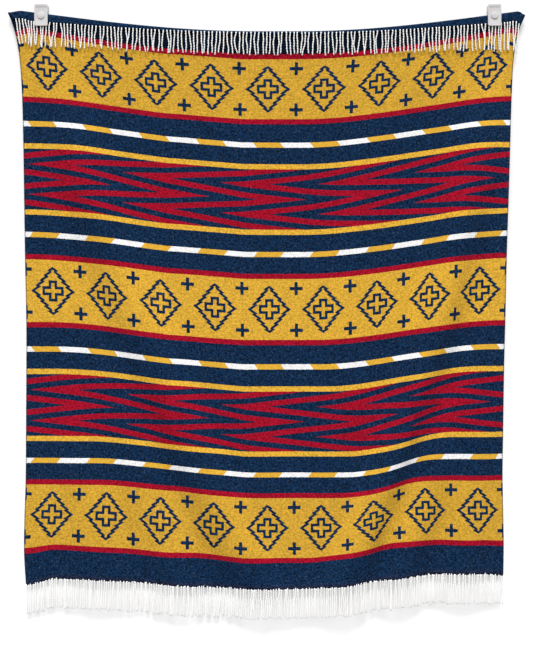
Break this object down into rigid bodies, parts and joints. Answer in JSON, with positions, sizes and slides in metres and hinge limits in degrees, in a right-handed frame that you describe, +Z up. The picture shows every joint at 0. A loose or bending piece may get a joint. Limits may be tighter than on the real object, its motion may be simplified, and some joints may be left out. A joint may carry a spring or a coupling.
{
  "type": "basotho blanket hung from two wall clips",
  "caption": "Fringed wool blanket with woven bands of stepped diamonds, crosses and zigzags, hung by its turned-over top edge from plain plastic wall clips.",
  "frame": {"origin": "on the wall plane, midway between the two clips and at the height of their middles", "axes": "+Z up, +X to the viewer's right along the wall, +Y into the wall; the blanket hangs on the -Y side"},
  "size_m": [1.5527, 0.059, 1.8477],
  "materials": {
    "wool_cloth": "felted heathered wool, navy ground with woven bands",
    "fringe_yarn": "soft two-ply twisted wool yarn, off-white",
    "clip_plastic": "slightly translucent moulded white plastic"
  },
  "bodies": {
    "root": {"blanket": "wool_cloth", "top_fringe": "fringe_yarn", "bottom_fringe": "fringe_yarn", "left_clip_plate": "clip_plastic", "left_clip_block": "clip_plastic", "left_clip_jaw": "clip_plastic", "left_clip_disc": "clip_plastic", "right_clip_plate": "clip_plastic", "right_clip_block": "clip_plastic", "right_clip_jaw": "clip_plastic", "right_clip_disc": "clip_plastic"}
  },
  "joints": []
}
